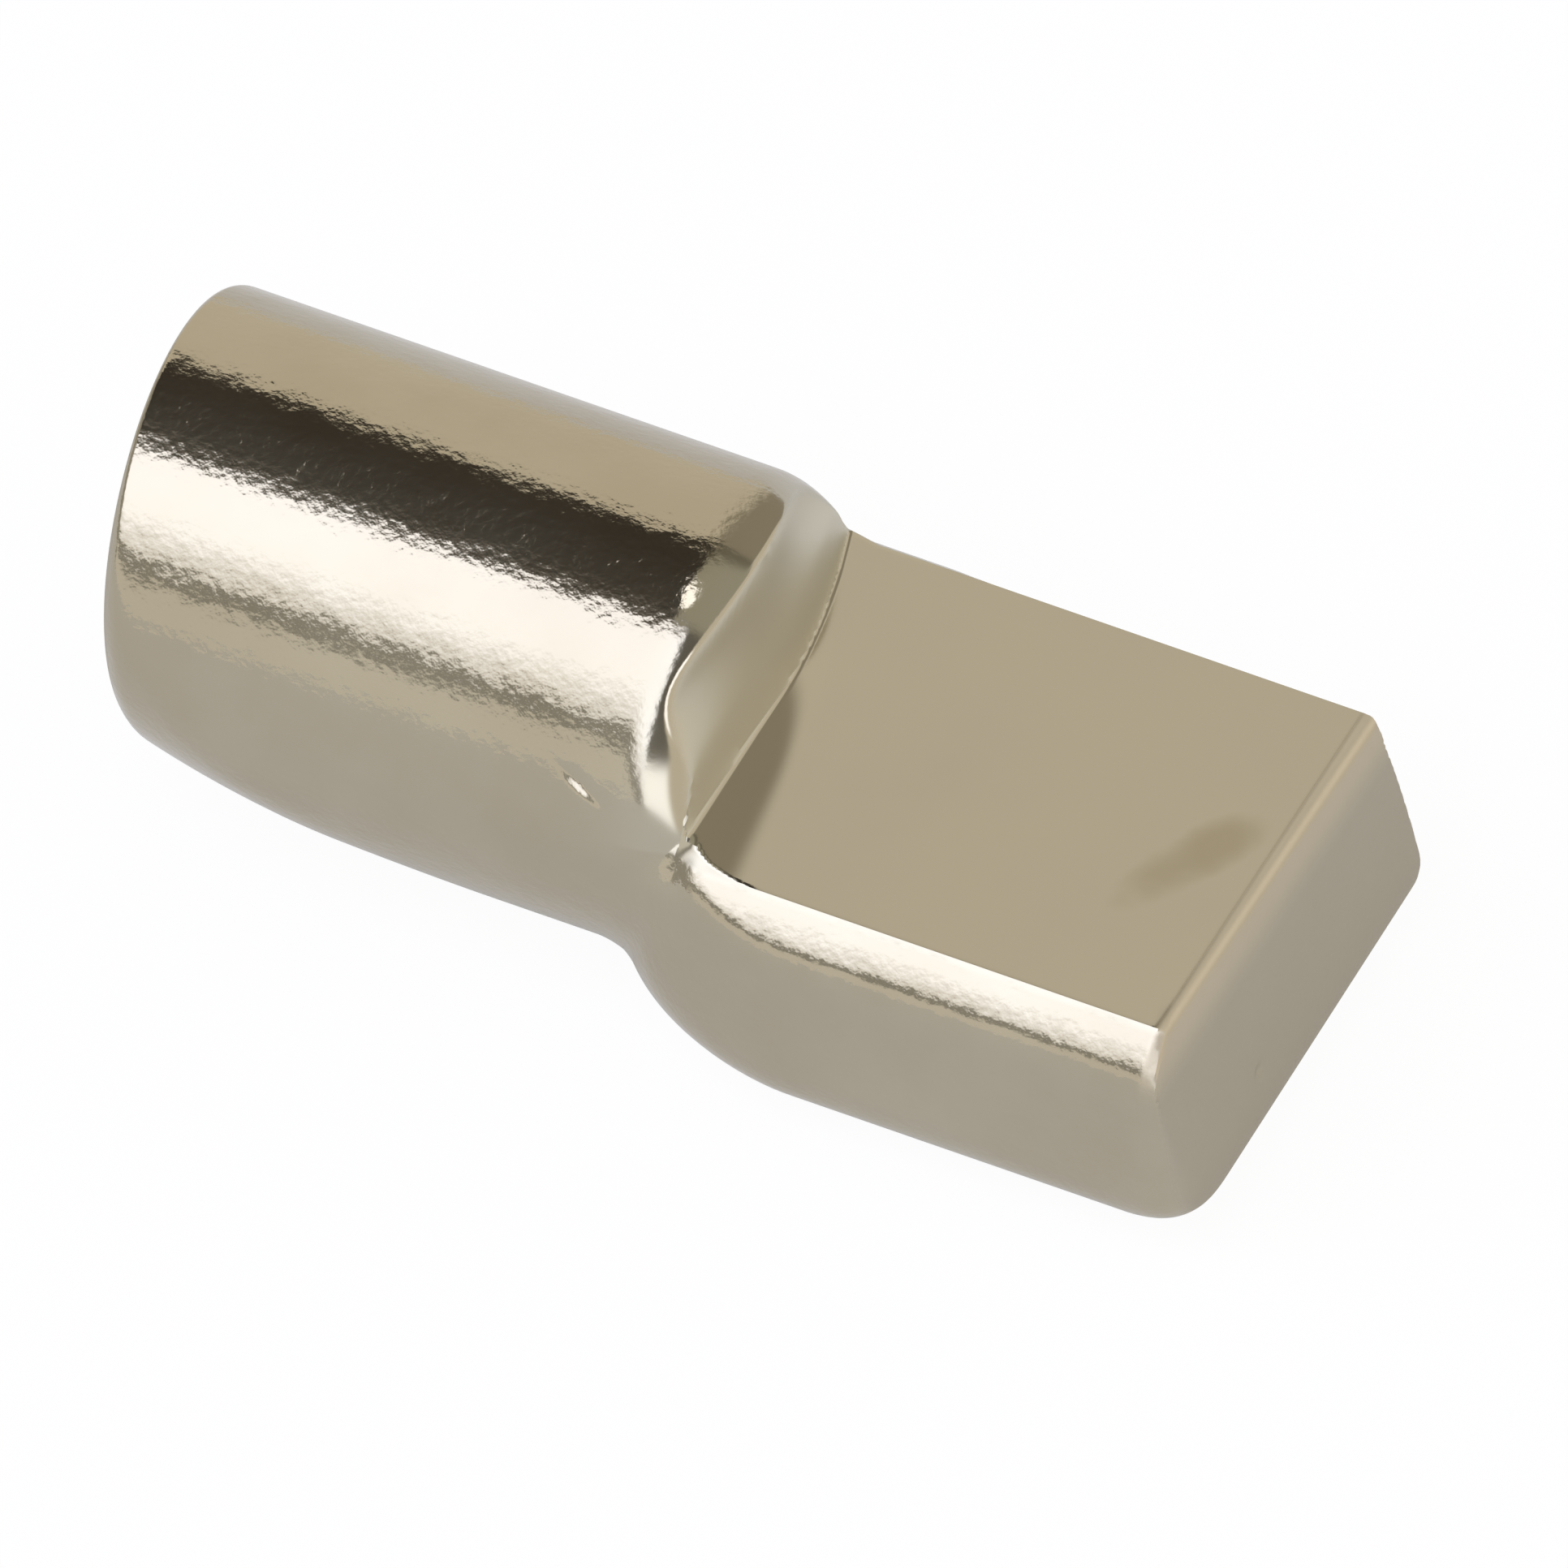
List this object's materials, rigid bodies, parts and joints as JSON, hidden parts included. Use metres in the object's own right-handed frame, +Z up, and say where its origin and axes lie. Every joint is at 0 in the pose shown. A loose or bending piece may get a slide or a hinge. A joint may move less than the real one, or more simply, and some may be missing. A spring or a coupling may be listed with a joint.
{
  "type": "shelf support pin",
  "caption": "Round steel pin for a cabinet's shelf hole, pressed past a sloped shoulder into a flat seat that carries the shelf, with a bulging rounded underside.",
  "frame": {"origin": "On the pin's axis, where the round pin ends and the shoulder begins", "axes": "+X runs along the axis from the pin to the seat, +Z is up out of the seat, +Y is across it"},
  "size_m": [0.0163, 0.0074, 0.0065],
  "materials": {
    "nickel_plate": "bright nickel plate with a fine orange peel, on steel"
  },
  "bodies": {
    "root": {"shelf_pin": "nickel_plate"}
  },
  "joints": []
}
